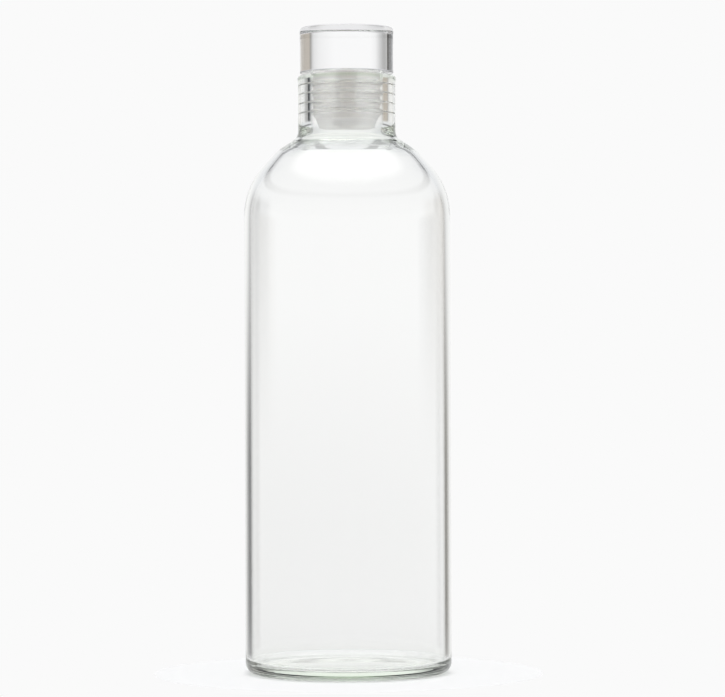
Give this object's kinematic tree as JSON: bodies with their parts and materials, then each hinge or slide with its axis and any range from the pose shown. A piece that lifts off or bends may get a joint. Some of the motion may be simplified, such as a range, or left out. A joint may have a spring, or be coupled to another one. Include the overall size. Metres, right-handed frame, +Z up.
{
  "type": "glass water bottle",
  "caption": "Clear glass water bottle with a straight body, sloped shoulder and short neck, closed by a push-in stopper with a solid clear knob and a finned silicone seal.",
  "frame": {"origin": "centre of the foot, on the surface the bottle stands on", "axes": "+Z up along the bottle's axis, from the foot to the knob; every piece is round about Z, so X and Y are free"},
  "size_m": [0.085, 0.085, 0.2658],
  "materials": {
    "bottle_glass": "clear borosilicate, fire-polished, faintly green where it is thick",
    "frosted_silicone": "translucent frosted silicone",
    "core_plastic": "translucent moulded plastic",
    "clear_acrylic": "solid clear acrylic, polished"
  },
  "bodies": {
    "bottle": {"bottle_body": "bottle_glass"},
    "sleeve": {"sealing_sleeve": "frosted_silicone"},
    "knob": {"stopper_knob": "clear_acrylic", "stopper_core": "core_plastic"}
  },
  "joints": [
    {"name": "stopper_lift", "type": "slide", "parent": "bottle", "child": "sleeve", "axis": [0, 0, 1], "range_m": [0, 0.04]},
    {"name": "stopper_turn", "type": "hinge", "parent": "sleeve", "child": "knob", "pos_m": [0, 0, 0.2565], "axis": [0, 0, 1], "continuous": true}
  ]
}
